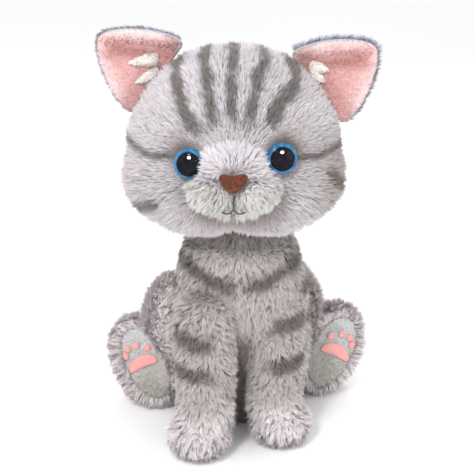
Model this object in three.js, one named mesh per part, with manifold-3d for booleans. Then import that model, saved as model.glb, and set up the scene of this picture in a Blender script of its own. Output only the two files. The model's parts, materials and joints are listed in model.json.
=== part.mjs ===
// A sitting plush kitten, about 200 mm tall: a stuffed body with four sewn-on legs and a tail, and a
// big stuffed head with two ears, plastic eyes, a muzzle pad and a nose. Millimetres, +Z up.
// The kitten faces -Y, and the origin is the centre of its flat seat panel, on the floor.
import * as THREE from "three";
import { mergeVertices } from "three/addons/utils/BufferGeometryUtils.js";
import Module from "manifold-3d";

const wasm = await Module();
wasm.setup();

// Cloth and gaps
const gap = 0.3;
const pocketGap = 0.7;
const legPocketGap = 2.1;
const hipPocketGap = 4;
const clothThickness = 2;
const floorGap = 0.3;

// How many sides the round forms have
const largeSides = 16;
const mediumSides = 12;
const smallSides = 8;

// Body: a pear-shaped lathe form that leans forward as it rises
const bodyOutline = [[26, floorGap], [31, 8], [34, 28], [33, 54], [31, 76], [28, 92], [20, 104]];
const bodyDepth = 0.88;
const bodyLean = 0.25;
const seatRadius = 21;
const seatThickness = 1.8;
const pelletBagCentre = [0, -6, 11.5];
const pelletBagRadii = [17, 13, 9];
const bagMouthRadius = 9;

// Neck wad: the ball on which the head turns and nods
const neckCentre = [0, -24, 106];
const neckRadius = 18.5;

// Head
const headCentre = [-3, -24, 147];
const skullRadii = [48, 38, 36];
const crownOffset = [0, 4, 11];
const crownRadii = [42, 34, 31];
const cheekOffset = [22, -3, -13];
const cheekRadii = [27, 31, 23];
const muzzleOffset = [0, -36, -12.5];
const muzzleRadii = [22, 14, 13.5];
const noseWidth = 12;
const noseHeight = 9;
const noseDepth = 3;
const noseSunk = 6;
const noseOffset = [0, -47.6, -5.8];
const stitchRadius = 0.8;

// Eyes: 14 mm safety eyes
const eyeForward = 35;
const eyeYaw = 10;
const pupilRadius = 5.8;
const irisRadius = 7;
const eyeDome = 4.2;
const shankRadius = 2;
const shankLength = 11;
const washerRadius = 6;
const washerThickness = 1.4;
const washerDepth = 5.5;

// Ears
const earBack = 6;
const earUp = 28;
const earTilt = 54;
const earHalfWidth = 21;
const earHeight = 29;
const earRoot = 5;
const earShellThickness = 2.6;
const earLiningThickness = 2;
const tuftThickness = 1.2;
const earFoldBack = 8;
const earFoldForward = 15;

// Front legs
const shoulderPivot = [16, -33, 64];
const shoulderRadius = 13.5;
const wristCentre = [16.8, -47, 18];
const wristRadius = 11.8;
const frontPawCentre = [19.5, -50, 10];
const frontPawRadii = [14, 15, 10.5];
const frontSwingForward = 18;
const frontSwingBack = 3;

// Hind legs: thigh, shank and a foot whose flat sole faces forward
const thighCentre = [30, 11, 36];
const thighRadii = [14.5, 19, 31];
const shankCentre = [40, 16, 22];
const shankRadii = [13, 14, 18];
const soleCentre = [47.5, 1.5, 23.5];
const footRadii = [13.5, 15, 23.5];
const footBehindSole = 8.5;
const soleYaw = 12;
const solePitch = -10;
const soleTilt = 28;
const soleThickness = 1.4;
const padThickness = 0.9;
// Places on the sole are [towards the outer side, towards the toes]
const mainPadRadii = [7.4, 3.8];
const mainPadPlace = [1.3, 1.8];
const toePadRadii = [1.6, 1.9];
const toePadPlaces = [[-4.8, 7.4], [0.2, 10.6], [5.1, 10.7], [7.8, 7.6]];

// Tail: lies on the floor behind the body
const tailPath = [[0, 18, 13], [1, 30, 11.5], [5, 42, 9.5], [14, 53, 8.6], [25, 58, 8.6]];
const tailRadius = 8;
const tailSwing = 15;

// The two sides: the left legs are set further forward than the right ones, the left ear higher, and
// the right eye and ear further out, as in hand-sewn work
const sides = [
  { name: "left", sign: -1, forward: 7, hipOut: 4, earOut: 38.5, earLift: 3, eyeOut: 19.6, eyeUp: -1 },
  { name: "right", sign: 1, forward: -7, hipOut: -3, earOut: 42, earLift: -2, eyeOut: 21.3, eyeUp: 1.5 },
];

const colours = {
  fur: 0x9f9a96,
  stuffing: 0xf2f0ea,
  pellets: 0xd8d4cc,
  seat: 0x8d8884,
  muzzle: 0xc9c8c8,
  nose: 0x7a4a2e,
  thread: 0x4a3a34,
  pupil: 0x0b0b0d,
  iris: 0x3f86b8,
  washer: 0xe6e6e6,
  lining: 0xe8a3ab,
  tuft: 0xf0e6dc,
  sole: 0x989a94,
  pad: 0xdf9a94,
};

const kitten = new THREE.Group();

// Shapes

function toSolid(geometry) {
  const bare = geometry.clone();
  bare.deleteAttribute("normal");
  bare.deleteAttribute("uv");
  const merged = mergeVertices(bare, 1e-3);
  return new wasm.Manifold(new wasm.Mesh({
    numProp: 3,
    vertProperties: Float32Array.from(merged.attributes.position.array),
    triVerts: Uint32Array.from(merged.index.array),
  }));
}

function toGeometry(solid) {
  const mesh = solid.getMesh();
  const geometry = new THREE.BufferGeometry();
  geometry.setAttribute("position", new THREE.BufferAttribute(mesh.vertProperties, 3));
  geometry.setIndex(new THREE.BufferAttribute(mesh.triVerts, 1));
  geometry.computeVertexNormals();
  return geometry;
}

function radians(degrees) {
  return THREE.MathUtils.degToRad(degrees);
}

function offsetPoint(centre, offset, sign = 1) {
  return [centre[0] + sign * offset[0], centre[1] + offset[1], centre[2] + offset[2]];
}

function ellipsoid(centre, radii, inset = 0, segments = mediumSides) {
  const geometry = new THREE.SphereGeometry(1, segments, Math.round(segments * 0.6));
  geometry.rotateX(Math.PI / 2);
  geometry.scale(radii[0] - inset, radii[1] - inset, radii[2] - inset);
  geometry.translate(...centre);
  return toSolid(geometry);
}

function ball(centre, radius) {
  return ellipsoid(centre, [radius, radius, radius], 0, smallSides);
}

// A lathe form whose axis starts at one point and runs to another; points are [radius, distance]
function turnedBetween(start, end, points) {
  const along = end.clone().sub(start).normalize();
  const profile = points.map(([radius, distance]) => new THREE.Vector2(radius, distance));
  const geometry = new THREE.LatheGeometry(profile, smallSides);
  geometry.applyQuaternion(new THREE.Quaternion().setFromUnitVectors(new THREE.Vector3(0, 1, 0), along));
  geometry.translate(...start.toArray());
  return toSolid(geometry);
}

function taperedRod(start, startRadius, end, endRadius) {
  const length = start.distanceTo(end);
  return turnedBetween(start, end, [[0, 0], [startRadius, 0], [endRadius, length], [0, length]]);
}

// A rod with round ends
function sausage(start, startRadius, end, endRadius) {
  const length = start.distanceTo(end);
  const share = [0, 1, 2, 3].map((step) => (Math.PI / 6) * step);
  const startEnd = share.map((angle) => [startRadius * Math.sin(angle), -startRadius * Math.cos(angle)]);
  const farEnd = share.map((angle) => [endRadius * Math.cos(angle), length + endRadius * Math.sin(angle)]);
  startEnd[0][0] = 0;
  farEnd[3][0] = 0;
  return turnedBetween(start, end, [...startEnd, ...farEnd]);
}

function joined(solids) {
  return solids.reduce((whole, solid) => whole.add(solid));
}

function cut(solid, tools) {
  return tools.reduce((rest, tool) => rest.subtract(tool), solid);
}

function aboveFloor(solid, height) {
  const depth = 60;
  const slab = new THREE.BoxGeometry(400, 400, depth);
  slab.translate(0, 0, height - depth / 2);
  return solid.subtract(toSolid(slab));
}

function turned(solid, pivot, axis, degrees) {
  const matrix = new THREE.Matrix4().makeTranslation(...pivot);
  matrix.multiply(new THREE.Matrix4().makeRotationAxis(new THREE.Vector3(...axis), radians(degrees)));
  matrix.multiply(new THREE.Matrix4().makeTranslation(...pivot.map((value) => -value)));
  const geometry = toGeometry(solid);
  geometry.applyMatrix4(matrix);
  return toSolid(geometry);
}

// The space that a moving piece needs: the piece at rest and in steps through its range
function swept(solid, pivot, axis, low, high) {
  const middle = (low + high) / 2;
  return joined([low, 0, middle, high].map((degrees) => turned(solid, pivot, axis, degrees)));
}

function addPiece(parent, name, geometry, colour, roughness = 0.95) {
  const material = new THREE.MeshStandardMaterial({ color: colour, roughness, metalness: 0 });
  const mesh = new THREE.Mesh(geometry, material);
  mesh.name = name;
  parent.add(mesh);
  return mesh;
}

// A frame is where a small piece sits: a point and a turn
function frameMatrix(position, rotation) {
  const object = new THREE.Object3D();
  object.position.set(...position);
  object.rotation.set(...rotation.map(radians), "ZXY");
  object.updateMatrix();
  return object.matrix;
}

function atFrame(geometry, matrix) {
  const placed = geometry.clone();
  placed.applyMatrix4(matrix);
  return placed;
}

// A stack of discs along -Y: points are [radius, distance along -Y]
function turnedAlongFront(points) {
  const profile = points.map(([radius, distance]) => new THREE.Vector2(radius, distance));
  const geometry = new THREE.LatheGeometry(profile, mediumSides);
  geometry.rotateX(Math.PI);
  return geometry;
}

function plate(shape, thickness, curveSegments = 6) {
  const geometry = new THREE.ExtrudeGeometry(shape, {
    depth: thickness,
    bevelEnabled: false,
    curveSegments,
  });
  geometry.rotateX(Math.PI / 2);
  return geometry;
}

function ovalShape(radii) {
  const shape = new THREE.Shape();
  shape.absellipse(0, 0, radii[0], radii[1], 0, 2 * Math.PI, false, 0);
  return shape;
}

// Body, seat and tail forms

function bodyForm(inset) {
  const spline = new THREE.SplineCurve(bodyOutline.map(([radius, height]) => new THREE.Vector2(radius, height)));
  const profile = spline.getPoints(8).map((point) => new THREE.Vector2(point.x - inset, point.y));
  profile[0].y += inset;
  profile[profile.length - 1].y -= inset;
  profile.unshift(new THREE.Vector2(0, profile[0].y));
  profile.push(new THREE.Vector2(0, profile[profile.length - 1].y));
  const geometry = new THREE.LatheGeometry(profile, largeSides);
  geometry.rotateX(Math.PI / 2);
  geometry.scale(1, bodyDepth, 1);
  const lean = new THREE.Matrix4().makeShear(0, 0, 0, 0, 0, -bodyLean);
  geometry.applyMatrix4(lean);
  return toSolid(geometry);
}

function seatForm(grow) {
  const geometry = new THREE.CylinderGeometry(seatRadius + grow, seatRadius + grow, seatThickness + grow, largeSides);
  geometry.rotateX(Math.PI / 2);
  geometry.translate(0, 0, (seatThickness + grow) / 2);
  return geometry;
}

function tailForm(inset) {
  const path = new THREE.CatmullRomCurve3(tailPath.map((point) => new THREE.Vector3(...point)));
  const geometry = new THREE.ExtrudeGeometry(ovalShape([tailRadius - inset, tailRadius - inset]), {
    steps: 6,
    curveSegments: smallSides / 2,
    bevelEnabled: false,
    extrudePath: path,
  });
  const ends = [tailPath[0], tailPath[tailPath.length - 1]];
  return joined([toSolid(geometry), ...ends.map((end) => ball(end, tailRadius - inset))]);
}

// Head forms

function headForm(inset) {
  const cheeks = sides.map((side) => ellipsoid(offsetPoint(headCentre, cheekOffset, side.sign), cheekRadii, inset));
  return joined([
    ellipsoid(headCentre, skullRadii, inset, largeSides),
    ellipsoid(offsetPoint(headCentre, crownOffset), crownRadii, inset),
    ...cheeks,
  ]);
}

function neckForm(grow) {
  return ellipsoid(neckCentre, [neckRadius, neckRadius, neckRadius], -grow, largeSides);
}

function eyeFrame(side) {
  const place = offsetPoint(headCentre, [side.eyeOut, -eyeForward, side.eyeUp], side.sign);
  return frameMatrix(place, [0, 0, side.sign * eyeYaw]);
}

function pupilGeometry() {
  const domeSteps = 6;
  const dome = Array.from({ length: domeSteps }, (_, step) => {
    const angle = (Math.PI / 2) * (step / domeSteps);
    return [pupilRadius * Math.cos(angle), eyeDome * Math.sin(angle)];
  });
  return turnedAlongFront([[0, -shankLength], [shankRadius, -shankLength], [shankRadius, 0], ...dome, [0, eyeDome]]);
}

function ringGeometry() {
  const inner = pupilRadius + gap;
  return turnedAlongFront([[inner, 0], [irisRadius, 0], [irisRadius, 1.2], [inner, 1.8], [inner, 0]]);
}

function washerGeometry() {
  const inner = shankRadius + gap;
  const back = -washerDepth - washerThickness;
  const front = -washerDepth;
  return turnedAlongFront([[inner, back], [washerRadius, back], [washerRadius, front], [inner, front], [inner, back]]);
}

// The room for an eye, its shank and its washer, open to the front
function eyeSpace(side) {
  const back = -shankLength - gap;
  const front = 3 * eyeDome;
  const washerBack = -washerDepth - washerThickness - gap;
  const washerFront = gap - washerDepth;
  const shank = shankRadius + gap;
  const washer = washerRadius + gap;
  const iris = irisRadius + gap;
  const space = turnedAlongFront([
    [0, back], [shank, back], [shank, washerBack], [washer, washerBack], [washer, washerFront], [shank, washerFront],
    [shank, -gap], [iris, -gap], [iris, front], [0, front],
  ]);
  return toSolid(atFrame(space, eyeFrame(side)));
}

// Ear: a rounded triangle that stands out of the head along its root line
function earShape() {
  const half = earHalfWidth;
  const shape = new THREE.Shape();
  shape.moveTo(-half, -earRoot);
  shape.lineTo(half, -earRoot);
  shape.bezierCurveTo(half - 1, earHeight * 0.45, half * 0.42, earHeight * 0.9, 0, earHeight);
  shape.bezierCurveTo(-half * 0.5, earHeight * 0.98, -half + 1, earHeight * 0.5, -half, -earRoot);
  return shape;
}

function earFrame(side) {
  const root = offsetPoint(headCentre, [side.earOut, earBack, earUp + side.earLift], side.sign);
  const object = new THREE.Object3D();
  object.position.set(...root);
  object.rotation.set(0, radians(side.sign * earTilt), 0);
  object.updateMatrix();
  return object.matrix;
}

// Shell behind, lining in front; both plates lie in the ear's own XZ plane
function earPlate(front, thickness) {
  const geometry = plate(earShape(), thickness);
  geometry.translate(0, front + thickness, 0);
  return geometry;
}

function tuftGeometry() {
  const shape = new THREE.Shape();
  shape.moveTo(-5, 0);
  shape.lineTo(5, 0);
  shape.lineTo(4, 7);
  shape.lineTo(1.8, 4);
  shape.lineTo(0, 10);
  shape.lineTo(-2, 4.5);
  shape.lineTo(-4.4, 8);
  shape.closePath();
  return plate(shape, tuftThickness);
}

// Leg forms

function placeLeg(side, point, outward = 0) {
  return [side.sign * point[0] + side.sign * outward, point[1] - side.forward, point[2]];
}

// A straight limb with a paw at its end; a negative inset makes it larger
function frontLimb(side, inset) {
  const shoulder = new THREE.Vector3(...placeLeg(side, shoulderPivot));
  const wrist = new THREE.Vector3(...placeLeg(side, wristCentre));
  const paw = ellipsoid(placeLeg(side, frontPawCentre), frontPawRadii, inset, smallSides);
  return sausage(shoulder, shoulderRadius - inset, wrist, wristRadius - inset).add(paw);
}

function frontLegForm(side, inset) {
  return aboveFloor(frontLimb(side, inset), floorGap + inset);
}

function soleFrame(side) {
  const turn = [solePitch, side.sign * soleTilt, side.sign * soleYaw];
  return frameMatrix(placeLeg(side, soleCentre), turn);
}

// The foot is an egg cut flat at the sole; behind is how far back of the sole plane it is cut
function footForm(side, inset, behind) {
  const egg = new THREE.SphereGeometry(1, mediumSides, mediumSides / 2);
  egg.rotateX(Math.PI / 2);
  egg.scale(footRadii[0] - inset, footRadii[1] - inset, footRadii[2] - inset);
  egg.translate(0, footBehindSole, 0);
  const depth = 2 * footRadii[1];
  const block = new THREE.BoxGeometry(4 * footRadii[0], depth, 4 * footRadii[2]);
  block.translate(0, behind - depth / 2, 0);
  const frame = soleFrame(side);
  return toSolid(atFrame(egg, frame)).subtract(toSolid(atFrame(block, frame)));
}

function thighForm(side, inset) {
  const thigh = ellipsoid(placeLeg(side, thighCentre, side.hipOut), thighRadii, inset);
  return thigh.add(ellipsoid(placeLeg(side, shankCentre), shankRadii, inset, smallSides));
}

// Room in front of the sole, which the thigh keeps clear of
function soleRecess(side, behind) {
  const depth = 2 * footRadii[1];
  const recess = solePlate(soleOval(2 * gap), [0, 0], depth, depth + behind, 8);
  return toSolid(atFrame(recess, soleFrame(side)));
}

function hindLegForm(side, inset, behind) {
  const leg = cut(thighForm(side, inset), [soleRecess(side, behind)]).add(footForm(side, inset, behind));
  return aboveFloor(leg, floorGap + inset);
}

function soleOval(grow) {
  const share = Math.sqrt(1 - (footBehindSole / footRadii[1]) ** 2);
  return [footRadii[0] * share - 0.4 + grow, footRadii[2] * share - 0.4 + grow];
}

// A plate on the sole: front is how far its face stands in front of the sole plane
function solePlate(radii, place, front, thickness, curveSegments) {
  const geometry = plate(ovalShape(radii), thickness, curveSegments);
  geometry.translate(place[0], thickness - front, place[1]);
  return geometry;
}

function padPlate(side, radii, place, front) {
  return solePlate(radii, [side.sign * place[0], place[1]], front, padThickness, 5);
}

// Pieces that each limb needs cleared out of the body or the head

const frontLegs = sides.map((side) => {
  const pivot = placeLeg(side, shoulderPivot);
  const limbSpace = swept(frontLimb(side, -legPocketGap), pivot, [-1, 0, 0], -frontSwingBack, frontSwingForward);
  return { side, pivot, clearance: limbSpace.add(ball(pivot, shoulderRadius + legPocketGap)) };
});

// The thigh is nearly round about its hip, so a loose pocket of its own shape clears every turn
const hindLegs = sides.map((side) => ({ side, clearance: thighForm(side, -hipPocketGap) }));

const tailRoot = new THREE.Vector3(...tailPath[0]);
const tailBend = new THREE.Vector3(...tailPath[1]);
const tailRod = taperedRod(tailRoot, tailRadius + 2 * pocketGap, tailBend, tailRadius + 2 * pocketGap);
const tailClearance = swept(tailRod, tailPath[0], [0, 0, 1], -tailSwing, tailSwing)
  .add(ball(tailPath[0], tailRadius + 2 * pocketGap));
const bodyClearance = [
  neckForm(pocketGap),
  ...frontLegs.map((leg) => leg.clearance),
  ...hindLegs.map((leg) => leg.clearance),
  tailClearance,
];

function buildBody() {
  const seat = toSolid(seatForm(gap));
  const stuffingForm = cut(bodyForm(clothThickness + gap), [...bodyClearance, seat]);
  const bagSpace = ellipsoid(pelletBagCentre, pelletBagRadii, -gap);
  const [bagX, bagY, bagZ] = pelletBagCentre;
  const bagMouth = new THREE.CylinderGeometry(bagMouthRadius, bagMouthRadius, bagZ, mediumSides);
  bagMouth.rotateX(Math.PI / 2);
  bagMouth.translate(bagX, bagY, bagZ / 2);
  addPiece(kitten, "body_skin", toGeometry(cut(bodyForm(0), [bodyForm(clothThickness), ...bodyClearance, seat])),
    colours.fur);
  addPiece(kitten, "body_stuffing", toGeometry(cut(stuffingForm, [bagSpace, toSolid(bagMouth)])), colours.stuffing);
  addPiece(kitten, "pellet_bag", toGeometry(cut(ellipsoid(pelletBagCentre, pelletBagRadii), [seat])),
    colours.pellets);
  addPiece(kitten, "seat_panel", seatForm(0), colours.seat);
}

function buildTail() {
  addPiece(kitten, "tail_skin", toGeometry(cut(tailForm(0), [tailForm(clothThickness), tailMouth()])),
    colours.fur);
  addPiece(kitten, "tail_stuffing", toGeometry(cut(tailForm(clothThickness + gap), [tailMouth()])), colours.stuffing);
}

// The sewn mouth of the tail cover, at its root inside the body
function tailMouth() {
  const mouth = new THREE.BoxGeometry(4 * tailRadius, 1.5 * tailRadius, 4 * tailRadius);
  mouth.translate(tailPath[0][0], tailPath[0][1] - tailRadius, tailPath[0][2]);
  return toSolid(mouth);
}

function buildFrontLeg({ side, pivot }) {
  const mouth = ball([pivot[0], pivot[1], pivot[2] + shoulderRadius], shoulderRadius / 2);
  const skin = cut(frontLegForm(side, 0), [frontLegForm(side, clothThickness), mouth]);
  addPiece(kitten, `front_leg_${side.name}_skin`, toGeometry(skin), colours.fur);
  addPiece(kitten, `front_leg_${side.name}_stuffing`, toGeometry(frontLegForm(side, clothThickness + gap)),
    colours.stuffing);
}

function buildHindLeg({ side }) {
  const stem = `hind_leg_${side.name}`;
  const inside = aboveFloor(thighForm(side, clothThickness).add(footForm(side, clothThickness, -clothThickness)),
    floorGap + clothThickness);
  const skin = cut(hindLegForm(side, 0, 0), [inside]);
  addPiece(kitten, `${stem}_skin`, toGeometry(skin), colours.fur);
  const stuffing = hindLegForm(side, clothThickness + gap, gap);
  addPiece(kitten, `${stem}_stuffing`, toGeometry(stuffing), colours.stuffing);
  const foot = new THREE.Group();
  soleFrame(side).decompose(foot.position, foot.quaternion, foot.scale);
  kitten.add(foot);
  const soleFront = gap + soleThickness;
  const padFront = soleFront + gap + padThickness;
  addPiece(foot, `sole_${side.name}`, solePlate(soleOval(0), [0, 0], soleFront, soleThickness, 8), colours.sole);
  addPiece(foot, `pad_${side.name}`, padPlate(side, mainPadRadii, mainPadPlace, padFront), colours.pad, 0.6);
  toePadPlaces.forEach((place, index) => {
    addPiece(foot, `toe_${side.name}_${index + 1}`, padPlate(side, toePadRadii, place, padFront), colours.pad, 0.6);
  });
}

// Face

function noseShape() {
  const half = noseWidth / 2;
  const shape = new THREE.Shape();
  shape.moveTo(0, noseHeight / 2 - 1);
  shape.quadraticCurveTo(half * 0.5, noseHeight / 2 + 0.6, half * 0.9, noseHeight / 2 - 0.6);
  shape.quadraticCurveTo(half * 1.15, noseHeight * 0.2, half * 0.5, -noseHeight * 0.32);
  shape.quadraticCurveTo(0, -noseHeight * 0.68, -half * 0.5, -noseHeight * 0.32);
  shape.quadraticCurveTo(-half * 1.15, noseHeight * 0.2, -half * 0.9, noseHeight / 2 - 0.6);
  shape.quadraticCurveTo(-half * 0.5, noseHeight / 2 + 0.6, 0, noseHeight / 2 - 1);
  return shape;
}

function stitchTube(points) {
  const geometry = new THREE.ExtrudeGeometry(ovalShape([stitchRadius, stitchRadius]), {
    steps: 3,
    curveSegments: 3,
    bevelEnabled: false,
    extrudePath: new THREE.CatmullRomCurve3(points),
  });
  return toSolid(geometry);
}

// A point on the muzzle's front, stitch radius plus a gap proud of it
function onMuzzle(across, up) {
  const centre = offsetPoint(headCentre, muzzleOffset);
  const grow = stitchRadius + gap + 0.1;
  const share = (across / (muzzleRadii[0] + grow)) ** 2 + (up / (muzzleRadii[2] + grow)) ** 2;
  const front = (muzzleRadii[1] + grow) * Math.sqrt(1 - share);
  return new THREE.Vector3(centre[0] + across, centre[1] - front, centre[2] + up);
}

function buildMuzzle(head, headSpace) {
  const centre = offsetPoint(headCentre, muzzleOffset);
  const muzzle = cut(ellipsoid(centre, muzzleRadii), [headSpace, ...sides.map(eyeSpace)]);
  addPiece(head, "muzzle", toGeometry(muzzle), colours.muzzle);
  const noseSolid = plate(noseShape(), noseDepth + noseSunk, 5);
  noseSolid.translate(...offsetPoint(headCentre, noseOffset));
  noseSolid.translate(0, noseSunk, 0);
  const muzzleSpace = ellipsoid(centre, muzzleRadii, -gap);
  addPiece(head, "nose", toGeometry(cut(toSolid(noseSolid), [muzzleSpace, headSpace])), colours.nose, 0.85);
  const stem = stitchTube([onMuzzle(0, 1), onMuzzle(0, -3), onMuzzle(0, -6.5)]);
  const smiles = [-1, 1].map((sign) => stitchTube([
    onMuzzle(0, -6),
    onMuzzle(sign * 2.6, -8.2),
    onMuzzle(sign * 5.6, -8.2),
  ]));
  addPiece(head, "mouth_stitch", toGeometry(cut(joined([stem, ...smiles]), [muzzleSpace])), colours.thread);
}

function buildEyes(head) {
  for (const side of sides) {
    const socket = new THREE.Group();
    eyeFrame(side).decompose(socket.position, socket.quaternion, socket.scale);
    head.add(socket);
    addPiece(socket, `eye_${side.name}`, pupilGeometry(), colours.pupil, 0.08);
    addPiece(socket, `eye_ring_${side.name}`, ringGeometry(), colours.iris, 0.2);
    addPiece(socket, `eye_washer_${side.name}`, washerGeometry(), colours.washer, 0.4);
  }
}

// The slot in the head for the ear's root, wide enough for the ear to fold
function earClearance(side) {
  const thickness = earShellThickness + gap + earLiningThickness + 2 * pocketGap;
  const height = earRoot + earHeight + pocketGap;
  const slot = new THREE.BoxGeometry(2 * (earHalfWidth + pocketGap), thickness, height);
  slot.translate(0, earShellThickness + pocketGap - thickness / 2, earHeight - height / 2);
  const matrix = earFrame(side);
  const axis = new THREE.Vector3(1, 0, 0).transformDirection(matrix).toArray();
  const pivot = new THREE.Vector3().setFromMatrixPosition(matrix).toArray();
  return swept(toSolid(atFrame(slot, matrix)), pivot, axis, -earFoldBack, earFoldForward);
}

function buildEars(head) {
  for (const side of sides) {
    const ear = new THREE.Group();
    earFrame(side).decompose(ear.position, ear.quaternion, ear.scale);
    head.add(ear);
    const liningFront = -gap - earLiningThickness;
    addPiece(ear, `ear_${side.name}_shell`, earPlate(0, earShellThickness), colours.fur);
    addPiece(ear, `ear_${side.name}_lining`, earPlate(liningFront, earLiningThickness), colours.lining);
    const tuft = tuftGeometry();
    tuft.translate(-side.sign * 4, liningFront - gap, 3);
    addPiece(ear, `ear_${side.name}_tuft`, tuft, colours.tuft);
  }
}

function buildHead() {
  const head = new THREE.Group();
  kitten.add(head);
  const headSpace = headForm(-gap);
  const spaces = [neckForm(pocketGap), ...sides.map(earClearance), ...sides.map(eyeSpace)];
  const skin = cut(headForm(0), [headForm(clothThickness), ...spaces]);
  const stuffing = cut(headForm(clothThickness + gap), spaces);
  addPiece(head, "head_skin", toGeometry(skin), colours.fur);
  addPiece(head, "head_stuffing", toGeometry(stuffing), colours.stuffing);
  buildMuzzle(head, headSpace);
  buildEyes(head);
  buildEars(head);
}

addPiece(kitten, "neck_wad", toGeometry(neckForm(0)), colours.stuffing);
buildBody();
buildTail();
frontLegs.forEach(buildFrontLeg);
hindLegs.forEach(buildHindLeg);
buildHead();

export default kitten;
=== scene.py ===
"""The looks of a sitting plush kitten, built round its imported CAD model.

Sizes and places are in millimetres until a mesh is made; Blender's meshes are in metres.
The kitten faces -Y. Fur is made of thin tapered ribbons that grow from smooth fabric covers.
"""

import json
import math

import bmesh
import bpy
import numpy as np
from mathutils import Matrix, Vector, kdtree


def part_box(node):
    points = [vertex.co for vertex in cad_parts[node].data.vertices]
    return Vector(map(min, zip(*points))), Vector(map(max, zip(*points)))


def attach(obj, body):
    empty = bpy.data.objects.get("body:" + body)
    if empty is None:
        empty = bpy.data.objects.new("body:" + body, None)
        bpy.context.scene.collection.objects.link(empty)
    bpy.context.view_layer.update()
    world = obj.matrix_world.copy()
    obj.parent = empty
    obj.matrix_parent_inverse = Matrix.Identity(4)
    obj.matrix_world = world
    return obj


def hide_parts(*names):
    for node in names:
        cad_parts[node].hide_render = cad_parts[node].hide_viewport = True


MM = 0.001
FLOOR_CLEARANCE = 0.25
SIDES = {"left": -1, "right": 1}
# BACKING_SHADE darkens the fabric under the fur: painted shade, as if shadowed by the strands
BACKING_SHADE = 0.6

# Camera
CAMERA_TARGET = (-1.5, -36, 103)
CAMERA_DISTANCE = 650
CAMERA_ELEVATION = 20
CAMERA_LENS = 105

# Light
WORLD_STRENGTH = 1.0
KEY_WATTS = 3.2
FILL_WATTS = 0.5
RIM_WATTS = 1.2
CATCH_LIGHT_WATTS = 45
CATCH_LIGHT_SIZE = 200
CATCH_LIGHT_PLACE = (280, -800, 525)

# Head, as offsets from its centre
HEAD_OFFSET_FROM_NECK = (-3, 0, 41)
SKULL_RADII = (48, 38, 36)
CROWN = ((0, 4, 11), (42, 34, 31))
CHEEK_OFFSET = (22, -3, -13)
CHEEK_RADII = (27, 31, 23)
JAW_OFFSET = (13, -9, -21)
JAW_RADII = (25, 27, 19)
STRIPE_BALL = 50
NOSE_TIP = (0, -52, -6)
WHISKER_PAD_OFFSET = (8, -37.5, -11.5)
WHISKER_PAD_RADII = (11, 12.5, 8.6)
CHIN = ((0, -34, -17), (13.5, 10.5, 7))
BRIDGE = ((0, -34, -1.5), (14, 11.5, 9.5))

# Body: (half-width, height) up the pear shape; it is shallower than wide and leans forward
BODY_OUTLINE = [(30.5, 10), (33, 25), (33.6, 40), (33, 54), (31, 70), (29, 82), (26.5, 92)]
NECK_FUR_OFFSET = (0, 1, -2)
NECK_FUR_RADII = (23, 20, 13)
BODY_DEPTH = 0.88
BODY_LEAN = 0.25

# Legs, for the right side; the left is mirrored. The left legs stand further forward.
LEG_FORWARD = {"left": 7, "right": -7}
HIP_OUT = {"left": 4, "right": -3}
SHOULDER = (16, -33, 64)
SHOULDER_RADIUS = 13
WRIST = (16.8, -47, 18)
WRIST_RADIUS = 11.6
FRONT_PAW = ((19.8, -49.5, 9.6), (13.2, 13.6, 9.6))
THIGH = ((30, 11, 36), (14.5, 19, 31))
SHANK = ((40, 16, 22), (13, 14, 18))
SOLE_CENTRE = (47.5, 1.5, 23.5)
FOOT_RADII = (15.3, 15, 24)
FOOT_BEHIND_SOLE = 8.5
SOLE_PITCH = -10
SOLE_TILT = 28
SOLE_YAW = 12
SOLE_RADII = (10.7, 19)
FOOT_OUTWARD = {"left": 2.2, "right": -0.8}
MAIN_PAD_PLACE = (1.3, 1.8)
TOE_PAD_RADII = (1.7, 2)
TOE_PAD_PLACES = [(-4.8, 7.4), (0.2, 10.6), (5.1, 10.7), (7.8, 7.6)]

# Ears
EAR_TILT = 54
EAR_HALF_WIDTH = 21
EAR_HEIGHT = 29
EAR_ROOT = 5
EAR_CREASE_START = (-11, 2)
EAR_CREASE_END = (1, 23)
EAR_FUR_LENGTH = {"left": 2.4, "right": 3.8}
# Edge profiles, as (share of the outline, depth) from front to back
LINING_PROFILE = [(0, -2.6), (0.25, -2.6), (0.5, -2.7), (0.7, -2.9), (0.85, -3.0), (0.95, -2.7), (1.0, -1.8),
                  (0.97, -0.6), (0.5, -0.4), (0, -0.4)]
SHELL_PROFILE = [(0, 0), (0.5, 0), (0.95, -0.4), (1.0, -1.2), (1.0, 0.6), (0.97, 2.2), (0.7, 3.0), (0, 3.2)]
WEDGE_PROFILE = [(0, -4.6), (0.6, -4.4), (1.0, -3.8), (1.0, -3.3), (0.6, -3.0), (0, -3.0)]
# Felt wedges: across, up, length, and the angle in degrees that each points up by
WEDGES = {"left": [(-8, 1, 13, 44), (-3, -3, 11, 28)], "right": [(-11, -1, 8, 42), (-8, -3, 7, 28)]}
WEDGE_HALF_WIDTH = 2.1

# Eyes
EYE_YAW = 10
EYE_PITCH = -8
IRIS_RADIUS = 7
PUPIL_RADIUS = 5.5
EYE_DOME = 3.3

# Tail
TAIL_PATH = [(0, 18, 13), (1, 30, 11.5), (5, 42, 9.5), (14, 53, 8.6), (25, 58, 8.6)]
TAIL_RADIUS = 8


def from_srgb(red, green, blue):
    """A colour given as 0 to 255 screen values, as linear light."""
    share = np.array([red, green, blue], float) / 255
    return np.where(share <= 0.04045, share / 12.92, ((share + 0.055) / 1.055) ** 2.4)


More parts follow.
